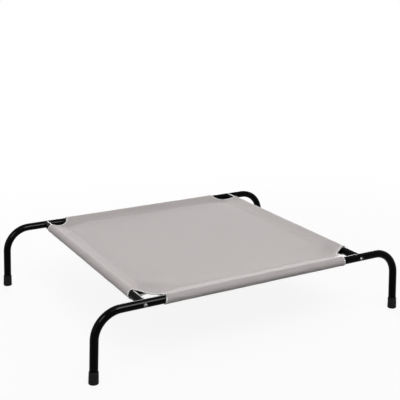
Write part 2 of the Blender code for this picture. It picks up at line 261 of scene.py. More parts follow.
def build_weave():
    group, threads_per_metre = open_group("crossing_threads", THREAD_COUNT, COVER_THREADS)
    cloth = add_node(group, "UVMap", uv_map="cut_pattern").outputs["UV"]
    threads = add_node(group, "VectorMath", {0: cloth, "Scale": threads_per_metre},
                       operation="SCALE").outputs[0]
    axes = add_node(group, "SeparateXYZ", {0: threads}).outputs
    ridges = []
    for axis in ("X", "Y"):
        turn = math_node(group, "MULTIPLY", axes[axis], math.pi)
        ridges.append(math_node(group, "ABSOLUTE", math_node(group, "SINE", turn)))
    over = [math_node(group, "MULTIPLY", ridge, between(group, crossing, UNDER_THREAD, 1.0))
            for ridge, crossing in (ridges, ridges[::-1])]
    board = add_node(group, "TexChecker", {"Vector": threads, "Scale": 1.0}).outputs["Fac"]
    weave = add_node(group, "Mix", {"Factor": board, "A": over[0], "B": over[1]})
    height = weave.outputs["Result"]
    valley = math_node(group, "SUBTRACT", 1.0, height)
    streaks = add_node(group, "Mapping", {"Vector": cloth, "Scale": SLUBS_PER_METRE})
    slub = noise_field(group, 1.0, 2.0, streaks.outputs[0])
    return close_group(group, Height=height, Valley=valley, Slub=slub)


CROSSING_THREADS = build_weave()


# %% [markdown]
# ### Grain and dust
# Powder coat, rubber and zinc all have a skin that is never quite even. A noise at two
# sizes gives the grain. Dust settles on faces that look up, so its mask is the upward part
# of the normal, broken by a noise of its own.

# %% Build the grain and dust groups
GRAIN_COUNT = "Grains per Metre"
PATCHES_PER_METRE = 38.0
DUST_SPOTS_PER_METRE = 60.0
DUST_FALLOFF = 3.0


def build_grain():
    group, grains_per_metre = open_group("fine_grain", GRAIN_COUNT, 900.0)
    return close_group(group, Height=noise_field(group, grains_per_metre, 2.0),
                       Patches=noise_field(group, PATCHES_PER_METRE, 3.0))


def build_dust():
    group, amount = open_group("settled_dust", "Amount", 0.3)
    normal = add_node(group, "NewGeometry").outputs["Normal"]
    upward = add_node(group, "SeparateXYZ", {0: normal}).outputs["Z"]
    upward = math_node(group, "MAXIMUM", upward, 0.0)
    upward = math_node(group, "POWER", upward, DUST_FALLOFF)
    broken = math_node(group, "MULTIPLY", upward, noise_field(group, DUST_SPOTS_PER_METRE, 4.0))
    return close_group(group, Mask=math_node(group, "MULTIPLY", broken, amount))


FINE_GRAIN = build_grain()
SETTLED_DUST = build_dust()


# %% [markdown]
# ## Materials
# Each finish is a Principled shader whose colour and roughness are steered by the groups.
# The helpers below hold what every finish shares: constants on the shader, a colour and a
# roughness that vary by a mask, and a bump.

# %% Helpers for a finish
def new_finish(name, **constants):
    """A Principled material; constants go on its sockets, with _ for a space."""
    made = bpy.data.materials.new(name)
    made.use_nodes = True
    shader = made.node_tree.nodes["Principled BSDF"]
    for socket, value in constants.items():
        shader.inputs[socket.replace("_", " ")].default_value = value
    return made, made.node_tree


def steer(made, colour, roughness, height, depth):
    """Drive the shader; a height of 0 to 1 becomes a bump that is depth metres high."""
    tree = made.node_tree
    shader = tree.nodes["Principled BSDF"]
    bump = add_node(tree, "Bump", {"Height": height, "Distance": depth}).outputs["Normal"]
    for socket, output in (("Base Color", colour), ("Roughness", roughness), ("Normal", bump)):
        tree.links.new(output, shader.inputs[socket])
    print(f"finish {made.name} is ready")
    return made


# %% [markdown]
# ### Cloth, edge tape and thread
# The cover is a warm pale grey, and no two threads are quite the same. The gaps between its
# threads are painted darker, painted shade in the weave's valleys. Its back is much darker,
# a painted shade that makes the sleeves look nearly black inside. The tape that binds the
# cut edges is paler and has a finer weave. Sewing thread is twisted, so it gets slanted
# ridges, with painted shade in the grooves of the twist.

# %% Make the cloth finishes
CLOTH_DUST = (0.60, 0.58, 0.55)
THIN_THREAD = 0.93
VALLEY_SHADE_SHARE = 0.35
TWISTS_PER_METRE = 900.0


def woven_finish(name, thread, valley_shade, threads_per_metre, relief):
    made, tree = new_finish(name, Sheen_Weight=0.08, Sheen_Roughness=0.5,
                            Specular_IOR_Level=0.05)
    weave = place_group(tree, CROSSING_THREADS, THREAD_COUNT, threads_per_metre)
    dust = place_group(tree, SETTLED_DUST, "Amount", 0.12)
    thin = tuple(THIN_THREAD * channel for channel in thread)
    uneven = mix_tones(tree, weave["Slub"], thin, thread)
    # The gaps between threads are painted darker: painted shade in the weave's valleys.
    painted_valley_shade = math_node(tree, "MULTIPLY", weave["Valley"], VALLEY_SHADE_SHARE)
    woven = mix_tones(tree, painted_valley_shade, uneven, valley_shade)
    return steer(made, mix_tones(tree, dust["Mask"], woven, CLOTH_DUST),
                 between(tree, weave["Valley"], 0.66, 0.9), weave["Height"], relief)


def thread_finish():
    made, tree = new_finish("sewing_thread", Sheen_Weight=0.2, Specular_IOR_Level=0.4)
    place = add_node(tree, "TexCoord").outputs["Object"]
    twist = add_node(tree, "TexWave", {"Vector": place, "Scale": TWISTS_PER_METRE},
                     bands_direction="DIAGONAL").outputs["Fac"]
    # The grooves of the twist are painted darker and its ridges lighter: painted shade along the
    # twist.
    colour = mix_tones(tree, twist, (0.47, 0.44, 0.43), (0.66, 0.63, 0.62))
    return steer(made, colour, between(tree, twist, 0.7, 0.5), twist, 0.00008)


COVER_CLOTH = woven_finish("grey_cover_cloth", (0.555, 0.510, 0.508), (0.36, 0.33, 0.33),
                           COVER_THREADS, 0.00012)
# The back is painted much darker: painted shade that makes the sleeves look nearly black inside.
SHADE_DARK_CLOTH_BACK = woven_finish("painted_shade_cloth_back", (0.130, 0.122, 0.122), (0.085, 0.080, 0.080),
                          COVER_THREADS, 0.00006)
EDGE_TAPE = woven_finish("pale_edge_tape", (0.86, 0.84, 0.83), (0.62, 0.60, 0.59),
                         2 * COVER_THREADS, 0.00006)
SEWING_THREAD = thread_finish()


# %% [markdown]
# ### Powder coat, rubber and zinc
# The tubes are gloss black powder coat: almost no colour, a clear reflection and a faint
# orange peel. The feet are matt black rubber. The bolts are zinc plated steel, which is
# metal, so its colour is the colour of its reflection.

# %% Make the hard finishes
COAT_BLACK = (0.0010, 0.0010, 0.0011)


def hard_finish(name, grains_per_metre, tones, roughness, relief, dust=None, **constants):
    """Patches of two tones and two roughnesses; dust is an amount and its own tone."""
    made, tree = new_finish(name, **constants)
    grain = place_group(tree, FINE_GRAIN, GRAIN_COUNT, grains_per_metre)
    colour = mix_tones(tree, grain["Patches"], *tones)
    if dust:
        film = place_group(tree, SETTLED_DUST, "Amount", dust[0])
        colour = mix_tones(tree, film["Mask"], colour, dust[1])
    return steer(made, colour, between(tree, grain["Patches"], *roughness),
                 grain["Height"], relief)


def zinc_finish(name, dull, bright):
    return hard_finish(name, 2400.0, (dull, bright), (0.42, 0.24), 0.00002, Metallic=1.0)


POWDER_COAT = hard_finish("black_powder_coat", 700.0, (COAT_BLACK, COAT_BLACK), (0.08, 0.16),
                          0.000008, (0.03, (0.10, 0.098, 0.095)), Specular_IOR_Level=0.03)
FOOT_RUBBER = hard_finish("black_foot_rubber", 1600.0, (grey(0.002), grey(0.008)), (0.48, 0.72),
                          0.00010, (0.25, (0.20, 0.19, 0.18)), Specular_IOR_Level=0.08)
BOLT_ZINC = zinc_finish("bolt_zinc", grey(0.07), grey(0.13))
WASHER_ZINC = zinc_finish("washer_zinc", grey(0.03), grey(0.07))
PLUG_STEEL = zinc_finish("plug_steel", (0.20, 0.19, 0.18), (0.35, 0.34, 0.33))


# %% [markdown]
# ## Building shapes
# Nearly every piece here is a skin over a row of rings: a tube, a turned cap, a bolt, an
# edge tape, one stitch of thread. One helper joins rings into a mesh, and a ring of a
# single point closes an end. A second helper cuts one mesh with another.

# %% Helpers for meshes and pieces
SHARP_ANGLE = math.radians(40.0)


def skin_rings(bm, rings, closed=False):
    """Faces between neighbouring rings; a ring of one point closes that end."""
    made = [[bm.verts.new(point) for point in ring] for ring in rings]
    pairs = list(zip(made, made[1:]))
    if closed:
        pairs.append((made[-1], made[0]))
    for low, high in pairs:
        count = max(len(low), len(high))
        for i in range(count):
            j = (i + 1) % count
            corners = (low[i % len(low)], low[j % len(low)],
                       high[j % len(high)], high[i % len(high)])
            bm.faces.new(list(dict.fromkeys(corners)))


def finished_mesh(name, bm):
    mesh = bpy.data.meshes.new(name)
    bmesh.ops.recalc_face_normals(bm, faces=bm.faces)
    bm.to_mesh(mesh)
    bm.free()
    return mesh


def ringed_mesh(name, rings, closed=False):
    bm = bmesh.new()
    skin_rings(bm, rings, closed)
    return finished_mesh(name, bm)


def cut_mesh(mesh, cutter_mesh):
    """The first mesh less the second, as a new mesh."""
    body = link_object(mesh.name, mesh)
    cutter = link_object("cutter", cutter_mesh)
    modifier = body.modifiers.new("cut", "BOOLEAN")
    modifier.operation = "DIFFERENCE"
    modifier.object = cutter
    graph = bpy.context.evaluated_depsgraph_get()
    result = bpy.data.meshes.new_from_object(body.evaluated_get(graph))
    for temporary in (body, cutter):
        bpy.data.objects.remove(temporary, do_unlink=True)
    return result


def add_piece(name, mesh, finish, slot, *nodes):
    """A visible piece: smooth, finished, riding on the bed and standing for CAD nodes."""
    made = link_object(name, mesh)
    mesh.materials.clear()
    mesh.materials.append(finish)
    mesh.shade_smooth()
    mesh.set_sharp_from_angle(angle=SHARP_ANGLE)
    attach(made, "root")
    if nodes:
        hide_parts(*nodes)
    return made


def circle(centre, first, second, radius, count):
    """Points round a centre, in the plane of two directions."""
    turns = [2 * math.pi * i / count for i in range(count)]
    return [centre + radius * (math.cos(t) * first + math.sin(t) * second) for t in turns]


# %% [markdown]
# ## The steel tubes
# The solids' tubes have 24 flat sides, which a gloss paint would show as stripes. Here the
# same tubes get 56 sides and a finer bend. Each is a closed skin that runs along the
# outside, turns at the end and comes back along the bore, so the wall is real. The bolt
# holes are cut with a cylinder, as a drill would.

# %% Bend the rails
TUBE_SIDES = 56
BEND_STEPS = 30
SPIGOT_LENGTH = 0.060
SWAGE_LENGTH = 0.008
CAP_FLOOR = 0.004
BOLT_HOLE_RADIUS = 0.0033
CUTTER_REACH = 0.040
ALONG_X = Vector((1.0, 0.0, 0.0))
ALONG_Y = Vector((0.0, 1.0, 0.0))
UPWARD = Vector((0.0, 0.0, 1.0))


def hollow_tube(name, stations, sideways):
    """A tube with a real wall. A station is its centre, direction and outer radius."""
    rings = []
    for inward, order in ((0.0, stations), (TUBE_WALL, stations[::-1])):
        for centre, direction, radius in order:
            across = direction.cross(sideways).normalized()
            rings.append(circle(centre, sideways, across, radius - inward, TUBE_SIDES))
    return ringed_mesh(name, rings, closed=True)


def bend_stations(side, rail_y):
    centre = Vector((side * (JOINT_X + JOINT_TO_BEND), rail_y, AXIS_HEIGHT - BEND_RADIUS))
    stations = []
    for step in range(BEND_STEPS + 1):
        turn = (math.pi / 2 - LEG_SPLAY) * step / BEND_STEPS
        out = Vector((side * math.sin(turn), 0.0, math.cos(turn)))
        along = Vector((side * math.cos(turn), 0.0, -math.sin(turn)))
        stations.append((centre + BEND_RADIUS * out, along, TUBE_RADIUS))
    return stations


def foot_centre(side, rail_y):
    """Where the leg's axis meets the floor."""
    top, down, _ = bend_stations(side, rail_y)[-1]
    return top + down * (top.z / math.cos(LEG_SPLAY))


def prism(name, ends, first, second, radius, sides):
    """A solid bar between two ends, for cutting."""
    rings = [circle(end, first, second, radius, sides) for end in ends]
    return ringed_mesh(name, [[ends[0]], *rings, [ends[1]]])


def rod(name, centre, direction, radius):
    """A cylinder through a centre that is long enough to cut right through a tube."""
    ends = [centre - CUTTER_REACH * direction, centre + CUTTER_REACH * direction]
    return prism(name, ends, UPWARD, direction.cross(UPWARD), radius, TUBE_SIDES)


def cross_axis(side, y):
    """A place on the axis of a cross tube."""
    return Vector((side * JOINT_X, y, AXIS_HEIGHT))


def rail_half(name, side, rail_y):
    joint = [(SEAT_GAP, TUBE_RADIUS)]
    if side < 0:
        spigot = TUBE_RADIUS - TUBE_WALL - SEAT_GAP
        joint = [(SPIGOT_LENGTH, spigot), (0.0, spigot), (-SWAGE_LENGTH, TUBE_RADIUS)]
    along = Vector((side, 0.0, 0.0))
    stations = [(Vector((x, rail_y, AXIS_HEIGHT)), along, radius) for x, radius in joint]
    stations += bend_stations(side, rail_y)
    down = stations[-1][1]
    end = foot_centre(side, rail_y) - down * (CAP_FLOOR + SEAT_GAP)
    stations.append((end, down, TUBE_RADIUS))
    bolt_hole = rod("bolt_hole", cross_axis(side, rail_y), ALONG_Y, BOLT_HOLE_RADIUS)
    return cut_mesh(hollow_tube(name, stations, ALONG_Y), bolt_hole)


for corner, side, front in CORNERS:
    name = f"{corner}_bent_tube"
    add_piece(name, rail_half(name, side, front * RAIL_Y), POWDER_COAT, "frame_tube",
              f"{corner}_rail_leg")
print("foot centre", [round(v, 4) for v in foot_centre(1, RAIL_Y)])

# %% [markdown]
# ### The cross tubes
# A cross tube ends on the round side of a rail, so its end is notched to the same curve. A
# cylinder of the rail's size cuts it, as a notcher would. It is quicker and truer than
# moving the end's points by hand.

# %% Notch the cross tubes
for hand, side in (("left", -1), ("right", 1)):
    name = f"{hand}_notched_tube"
    ends = [cross_axis(side, y) for y in (-RAIL_Y, RAIL_Y)]
    tube = hollow_tube(name, [(end, ALONG_Y, TUBE_RADIUS) for end in ends], ALONG_X)
    for end in ends:
        tube = cut_mesh(tube, rod("notch", end, ALONG_X, TUBE_RADIUS + SEAT_GAP))
    add_piece(name, tube, POWDER_COAT, "frame_tube", f"{hand}_cross_tube")
print("cross tubes notched at both ends")

# %% [markdown]
# ## Feet
# A cap is a turned part: an outline spun round an axis. The outline has a rounded lip and
# sole and a slight taper. It is spun round the leaning leg and then sliced level with the
# floor, because a cap wears flat where it stands.

# %% Turn the foot caps
CAP_HEIGHT = 0.032
CAP_LIP_RADIUS = 0.0118
CAP_TOP_RADIUS = 0.0123
CAP_SOLE_RADIUS = 0.0129
CAP_LIP_ROUND = 0.0030
CAP_SOLE_ROUND = 0.0016
ROUND_STEPS = 6
TURNED_SIDES = 64


def turned_rings(profile):
    """Rings round Z for an outline of radius and height; a radius of 0 is a point."""
    rings = []
    for radius, height in profile:
        centre = Vector((0.0, 0.0, height))
        rings.append(circle(centre, ALONG_X, ALONG_Y, radius, TURNED_SIDES) if radius else [centre])
    return rings


def quarter(centre_radius, centre_height, across, tall, first=math.pi / 2):
    """Outline points on a quarter of an ellipse, down from its top or another angle."""
    turns = [first - math.pi / 2 * i / ROUND_STEPS for i in range(ROUND_STEPS + 1)]
    return [(centre_radius + across * math.cos(t), centre_height + tall * math.sin(t))
            for t in turns]


def cap_mesh():
    bore = TUBE_RADIUS + SEAT_GAP
    sole_radius = CAP_SOLE_RADIUS - CAP_SOLE_ROUND
    profile = [(0.0, CAP_FLOOR), (bore, CAP_FLOOR), (bore, CAP_HEIGHT)]
    profile += quarter(CAP_LIP_RADIUS, CAP_HEIGHT - CAP_LIP_ROUND,
                       CAP_TOP_RADIUS - CAP_LIP_RADIUS, CAP_LIP_ROUND)
    profile += quarter(sole_radius, CAP_SOLE_ROUND, CAP_SOLE_ROUND, CAP_SOLE_ROUND, 0.0)
    profile += [(sole_radius, -2 * CAP_SOLE_ROUND), (0.0, -2 * CAP_SOLE_ROUND)]
    bm = bmesh.new()
    skin_rings(bm, turned_rings(profile))
    bmesh.ops.rotate(bm, verts=bm.verts, matrix=Matrix.Rotation(LEG_SPLAY, 3, "Y"))
    sliced = bmesh.ops.bisect_plane(bm, geom=bm.verts[:] + bm.edges[:] + bm.faces[:],
                                    plane_co=(0.0, 0.0, 0.0), plane_no=(0.0, 0.0, -1.0),
                                    clear_outer=True)
    rim = [item for item in sliced["geom_cut"] if isinstance(item, bmesh.types.BMEdge)]
    bmesh.ops.contextual_create(bm, geom=rim)
    return finished_mesh("foot_cap", bm)


for corner, side, front in CORNERS:
    mesh = cap_mesh()
    if side > 0:
        mesh.transform(Matrix.Rotation(math.pi, 4, "Z"))
    mesh.transform(Matrix.Translation(foot_centre(side, front * RAIL_Y)))
    add_piece(f"{corner}_rubber_cap", mesh, FOOT_RUBBER, "foot_cap", f"{corner}_foot_cap")
print("caps stand on the floor")

# %% [markdown]
# ## Bolts and washers
# These are turned too. The bolt is a button head with a hexagon socket, which is cut out
# with a short bar of six sides. Without that dark socket the head would read as a rivet.

# %% Turn the bolts and washers
BOLT_RADIUS = 0.003
HEAD_RADIUS = 0.00525
HEAD_FLAT_RADIUS = 0.0030
HEAD_HEIGHT = 0.0033
SOCKET_ACROSS_FLATS = 0.004
SOCKET_DEPTH = 0.002
SOCKET_SIDES = 6
WASHER_EDGE = 0.0002
bolt_low, bolt_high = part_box("front_left_bolt")
washer_low, washer_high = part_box("front_left_washer")
BOLT_LENGTH = bolt_high.y - bolt_low.y - HEAD_HEIGHT
WASHER_RADIUS = (washer_high.x - washer_low.x) / 2
WASHER_THICKNESS = washer_high.y - washer_low.y


def bolt_mesh():
    """A button-head bolt that points out along +Z, its head's underside at Z = 0."""
    profile = [(0.0, HEAD_HEIGHT)]
    profile += quarter(HEAD_FLAT_RADIUS, 0.0, HEAD_RADIUS - HEAD_FLAT_RADIUS, HEAD_HEIGHT)
    profile += [(BOLT_RADIUS, 0.0), (BOLT_RADIUS, -BOLT_LENGTH), (0.0, -BOLT_LENGTH)]
    body = ringed_mesh("bolt", turned_rings(profile))
    key_ends = [Vector((0.0, 0.0, HEAD_HEIGHT + z)) for z in (-SOCKET_DEPTH, SOCKET_DEPTH)]
    key_radius = SOCKET_ACROSS_FLATS / math.sqrt(3)
    key = prism("socket_key", key_ends, ALONG_X, ALONG_Y, key_radius, SOCKET_SIDES)
    return cut_mesh(body, key)


def washer_mesh():
    """A flat ring with its outer edges broken, from Z = 0 up."""
    inner, outer, top = BOLT_HOLE_RADIUS, WASHER_RADIUS, WASHER_THICKNESS
    profile = [(inner, 0.0), (outer - WASHER_EDGE, 0.0), (outer, WASHER_EDGE),
               (outer, top - WASHER_EDGE), (outer - WASHER_EDGE, top), (inner, top)]
    return ringed_mesh("washer", turned_rings(profile), closed=True)


HEAD_SEAT_Y = -(bolt_low.y + HEAD_HEIGHT)
for corner, side, front in CORNERS:
    turn = Matrix.Rotation(-front * math.pi / 2, 4, "X")
    for kind, mesh, seat_y, finish in (("bolt", bolt_mesh(), HEAD_SEAT_Y, BOLT_ZINC),
                                       ("washer", washer_mesh(), -washer_high.y, WASHER_ZINC)):
        mesh.transform(Matrix.Translation(cross_axis(side, front * seat_y)) @ turn)
        add_piece(f"{corner}_zinc_{kind}", mesh, finish, kind, f"{corner}_{kind}")
    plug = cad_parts[f"{corner}_threaded_plug"]
    plug.material_slots[0].material = PLUG_STEEL
print(f"bolts {1000 * BOLT_LENGTH:.1f} mm long under the head")

# %% [markdown]
# ## The sling cover
# The cover is one cloth, cut flat as a fat cross and then wrapped: each arm goes round a
# tube and comes back under the middle, where it is sewn. It could be modelled as a box
# with bent edges, but then the weave would have no honest direction. So the cloth is
# drawn flat first, with its corners cut out, and a function says where each flat point
# goes on the frame. The flat drawing is also the UV map.

# %% Sizes of the cloth
CLOTH_THICKNESS = 0.00095
WRAP_RADIUS = TUBE_RADIUS + SEAT_GAP + CLOTH_THICKNESS / 2
WRAP_START = math.radians(76.0)
WRAP_END = math.radians(292.0)
LOOSE_SLACK = 0.0004
TIGHT_SLACK = 0.0001
SLACK_FROM = math.radians(170.0)
SLACK_FULL = math.radians(265.0)
EDGE_INSET = WRAP_RADIUS * math.cos(WRAP_START)
FLAT_INSET = 0.052
PANEL_RISE = 0.004
SEAM_INSET = 0.040
HEM_WIDTH = 0.012
LAYER_GAP = 0.00105
PANEL_SAG = 0.006
CORNER_DROOP = 0.005
DROOP_POWER = 1.3
DROOP_INSET = 0.036
DROOP_FULL = 0.070
DROOP_GONE = 0.140
EDGE_X = JOINT_X - EDGE_INSET
EDGE_Y = RAIL_Y - EDGE_INSET
EDGE_RISE = WRAP_RADIUS * math.sin(WRAP_START)
print(f"cloth turns down {1000 * EDGE_INSET:.1f} mm inside each tube's axis")


# %% [markdown]
# ### The height of the stretched cloth
# Seen from the end of a sleeve, the cloth leaves the tube on a slope and levels out about
# 50 mm inside. A Hermite curve joins those two directions smoothly. The middle sags a
# little, and each corner, which nothing pulls outward, droops.

# %% Heights over the panel
def flank_rise(inset):
    """Height of the cloth over the tube's axis, by distance inside that axis."""
    if inset >= FLAT_INSET:
        return PANEL_RISE
    span = FLAT_INSET - EDGE_INSET
    t = max(0.0, (inset - EDGE_INSET) / span)
    slope = -1.0 / math.tan(WRAP_START)
    start = 2 * t ** 3 - 3 * t ** 2 + 1
    return (start * EDGE_RISE + (t ** 3 - 2 * t ** 2 + t) * span * slope
            + (1 - start) * PANEL_RISE)


def ease(value, low, high):
    """0 at low, 1 at high and smooth between."""
    t = min(1.0, max(0.0, (value - low) / (high - low)))
    return t * t * (3 - 2 * t)


def sheet_z(x, y):
    """Height of the cloth's middle layer over a point of the floor."""
    in_x, in_y = JOINT_X - abs(x), RAIL_Y - abs(y)
    bowl = max(0.0, 1 - (x / EDGE_X) ** 2) * max(0.0, 1 - (y / EDGE_Y) ** 2)
    nearest = max(0.0, min(in_x, in_y) - EDGE_INSET)
    depth = 1 - max(0.0, 1 - nearest / DROOP_INSET) ** DROOP_POWER
    fade = 1 - ease(math.hypot(in_x, in_y), DROOP_FULL, DROOP_GONE)
    return (AXIS_HEIGHT + flank_rise(in_x) + flank_rise(in_y) - PANEL_RISE
            - PANEL_SAG * bowl - CORNER_DROOP * depth * fade)


print(f"the cloth's middle is {1000 * sheet_z(0.0, 0.0):.1f} mm above the floor")


# %% [markdown]
# ### Wrapping a flat point
# Past the turning line a point goes round the tube by its arc length, then straight back
# up to the seam, and last along the underside of the panel as the hem.

# %% Place a flat point on the frame
def wrap_section(angle, slack):
    """Inset and height of the wrapped cloth at an angle round the tube."""
    radius = WRAP_RADIUS + slack * ease(angle, SLACK_FROM, SLACK_FULL)
    return radius * math.cos(angle), radius * math.sin(angle)


ARC_LENGTH = WRAP_RADIUS * (WRAP_END - WRAP_START)
LEAVE_INSET, LEAVE_HEIGHT = wrap_section(WRAP_END, TIGHT_SLACK)
SEAM_S = ARC_LENGTH + math.hypot(SEAM_INSET - LEAVE_INSET, PANEL_RISE - LEAVE_HEIGHT)
HEM_S = SEAM_S + HEM_WIDTH
OUTER_S = WRAP_RADIUS * (math.pi - WRAP_START)


def flap_section(past, height_at, slack):
    """Inset and height for a distance past the turning line, round and back under."""
    if past <= ARC_LENGTH:
        inset, height = wrap_section(WRAP_START + past / WRAP_RADIUS, slack)
        return inset, AXIS_HEIGHT + height
    seam_z = height_at(SEAM_INSET) - LAYER_GAP
    if past <= SEAM_S:
        t = (past - ARC_LENGTH) / (SEAM_S - ARC_LENGTH)
        inset, height = wrap_section(WRAP_END, slack)
        return (inset + t * (SEAM_INSET - inset),
                AXIS_HEIGHT + height + t * (seam_z - AXIS_HEIGHT - height))
    inset = SEAM_INSET + past - SEAM_S
    return inset, height_at(inset) - LAYER_GAP


def on_frame(u, v):
    """Where a point of the flat cloth lies once the cloth is wrapped and sewn."""
    past_x, past_y = abs(u) - EDGE_X, abs(v) - EDGE_Y
    if past_x > 0:
        side = math.copysign(1, u)
        inset, z = flap_section(past_x, lambda i: sheet_z(side * (JOINT_X - i), v), TIGHT_SLACK)
        return Vector((side * (JOINT_X - inset), v, z))
    if past_y > 0:
        front = math.copysign(1, v)
        slack = LOOSE_SLACK if front < 0 else TIGHT_SLACK
        inset, z = flap_section(past_y, lambda i: sheet_z(u, front * (RAIL_Y - i)), slack)
        return Vector((u, front * (RAIL_Y - inset), z))
    return Vector((u, v, sheet_z(u, v)))


print(f"each arm of the cloth is {1000 * HEM_S:.0f} mm long past the turning line")

# %% [markdown]
# ### The corner cut-outs
# The two front corners of the real cover differ. Each outline below runs from the sleeve
# over the cross tube, round the cut-out, to the sleeve over the rail, in millimetres inside
# the two tubes' axes. The mouths of the sleeves lean back a little below the tube.

# %% Corner outlines
MILLIMETRE = 0.001
SHOULDERED = [(3, 71), (21, 70), (28, 63), (32.5, 57), (41, 47), (49, 40), (58, 36), (64, 34),
              (63, 18), (62, 3)]
TIGHT = [(3, 70.5), (7, 69), (22, 62), (33, 56), (35, 46), (40, 41), (50, 37), (56, 34),
         (57, 18), (57, 3)]
SLANTED = [(3, 50.5), (10, 51), (22, 45), (37, 36), (47, 30), (57, 21), (63, 10), (65.5, 3)]
# Each corner: its cut-out, then outer and under ends of the cross sleeve and the rail sleeve.
REAR_CUT = (SLANTED, (51, 56), (65, 58))
CUTS = {"front_left": (SHOULDERED, (65, 60), (55.5, 58)),
        "front_right": (TIGHT, (71, 66), (56.5, 56)),
        "rear_left": REAR_CUT, "rear_right": REAR_CUT}
BORDER_STEP = 0.0015
BORDER_SMOOTHING = 12


def even_path(points, step):
    """Points at even steps along a broken line."""
    path = [points[0]]
    for start, end in zip(points, points[1:]):
        count = max(1, round((end - start).length / step))
        path += [start.lerp(end, (i + 1) / count) for i in range(count)]
    return path


def smooth_path(path, rounds):
    """The same path with its corners rounded and its ends kept."""
    for _ in range(rounds):
        inner = [(a + 2 * b + c) / 4 for a, b, c in zip(path, path[1:], path[2:])]
        path = [path[0], *inner, path[-1]]
    return path


def corner_border(corner, side, front):
    """The cut edge at a corner, as flat points from the cross sleeve's hem to the rail's."""
    outline, (cross_outer, cross_under), (rail_outer, rail_under) = CUTS[corner]
    past = [1000 * (EDGE_INSET - s) for s in (HEM_S, SEAM_S, OUTER_S)]
    points = [(past[0], cross_under), (past[1], cross_under), (past[2], cross_outer)]
    points += [*outline, (rail_outer, past[2]), (rail_under, past[1]), (rail_under, past[0])]
    flat = [Vector((side * (JOINT_X - MILLIMETRE * a), front * (RAIL_Y - MILLIMETRE * b)))
            for a, b in points]
    return smooth_path(even_path(flat, BORDER_STEP), BORDER_SMOOTHING)


def into_cloth(border, side, front):
    """Unit directions from each border point into the cloth."""
    steps = [(b - a).normalized() for a, b in zip(border, border[1:])]
    middles = [(a + b).normalized() for a, b in zip(steps, steps[1:])]
    turn = side * front
    return [Vector((-turn * t.y, turn * t.x)) for t in (steps[0], *middles, steps[-1])]


BORDERS = {}
for corner, side, front in CORNERS:
    border = corner_border(corner, side, front)
    BORDERS[corner] = list(zip(border, into_cloth(border, side, front)))
print("points along each cut edge", {corner: len(BORDERS[corner]) for corner in BORDERS})

# %% [markdown]
# ### Filling the flat drawing
# Inside the outline go the mesh's points: rows that run along every cut edge, close
# together so that the turned hem can stand up, and a grid elsewhere that is fine where the
# cloth bends. A Delaunay triangulation joins them.

# %% Triangulate the flat cloth
EDGE_ROWS = [0.0008, 0.0018, 0.0032, 0.0050, 0.0072, 0.0092, 0.0102, 0.0108, 0.0114, 0.0122,
             0.0140, 0.0165]
GRID_KEEP_OFF = 0.0185
FINEST_STEP = 0.0024
COARSEST_STEP = 0.0105
STEP_GROWTH = 1.08
ARC_STEPS = 30
UNDER_STEPS = 8
HEM_STEPS = 4
MERGE_WITHIN = 1e-6
INSIDE_ONLY = 1


def graded_lines(edge):
    """Grid positions from the middle of the cloth out to the end of an arm."""
    insets, step = [0.0], FINEST_STEP
    while insets[-1] < edge:
        insets.append(insets[-1] + step)
        step = min(COARSEST_STEP, step * STEP_GROWTH)
    scale = edge / insets[-1]
    lines = [edge - scale * inset for inset in insets[::-1]]
    for low, high, steps in ((0.0, ARC_LENGTH, ARC_STEPS), (ARC_LENGTH, SEAM_S, UNDER_STEPS),
                             (SEAM_S, HEM_S, HEM_STEPS)):
        lines += [edge + low + (high - low) * (i + 1) / steps for i in range(steps)]
    return [-line for line in lines[:0:-1]] + lines


def far_end(first, second, lines, axis):
    """Grid points on the straight end of an arm, between two cut edges' ends."""
    low, high = sorted((first[axis], second[axis]))
    keep_off = GRID_KEEP_OFF / 2
    inner = [line for line in lines if low + keep_off < line < high - keep_off]
    if first[axis] > second[axis]:
        inner = inner[::-1]
    return [Vector((line, first.y) if axis == 0 else (first.x, line)) for line in inner]


def flat_outline(lines):
    """The whole border of the flat cloth, once round from the front left corner."""
    corners = ("front_left", "front_right", "rear_right", "rear_left")
    borders = [[point for point, _ in BORDERS[corner]] for corner in corners]
    borders[1::2] = [border[::-1] for border in borders[1::2]]
    loop = []
    for i, border in enumerate(borders):
        loop += border + far_end(border[-1], borders[(i + 1) % 4][0], lines[i % 2], i % 2)
    return loop


def cut_edge_tree():
    """A tree that finds how far a flat point is from the nearest cut edge."""
    edges = [point for border in BORDERS.values() for point, _ in border]
    tree = KDTree(len(edges))
    for point in edges:
        tree.insert(point.to_3d(), 0)
    tree.balance()
    return tree


def flat_points(u_lines, v_lines):
    """The points inside the outline: rows along the cut edges, and the grid."""
    points = [point + row * inward for border in BORDERS.values() for row in EDGE_ROWS
              for point, inward in border[1:-1]]
    for u in u_lines:
        for v in v_lines:
            past_x, past_y = abs(u) - EDGE_X, abs(v) - EDGE_Y
            cut_away = min(past_x, past_y) > -SEAM_INSET / 2
            at_end = max(past_x, past_y) > HEM_S - BORDER_STEP
            if not (cut_away or at_end) and EDGE_TREE.find((u, v, 0.0))[2] > GRID_KEEP_OFF:
                points.append(Vector((u, v)))
    return points


EDGE_TREE = cut_edge_tree()
grid = (graded_lines(EDGE_X), graded_lines(EDGE_Y))
outline = flat_outline(grid)
cloth_points, _, cloth_faces, *_ = delaunay_2d_cdt(
    outline + flat_points(*grid), [], [list(range(len(outline)))], INSIDE_ONLY, MERGE_WITHIN)


# %% [markdown]
# ### Hem and ripples
# A cut edge is turned over once, so an 11 mm band along it is twice as thick, and the
# stitch line that holds it sinks in. Cloth pulled over a tube also keeps soft ripples that
# run slantwise across the sleeve. Both lift the surface along its own normal.

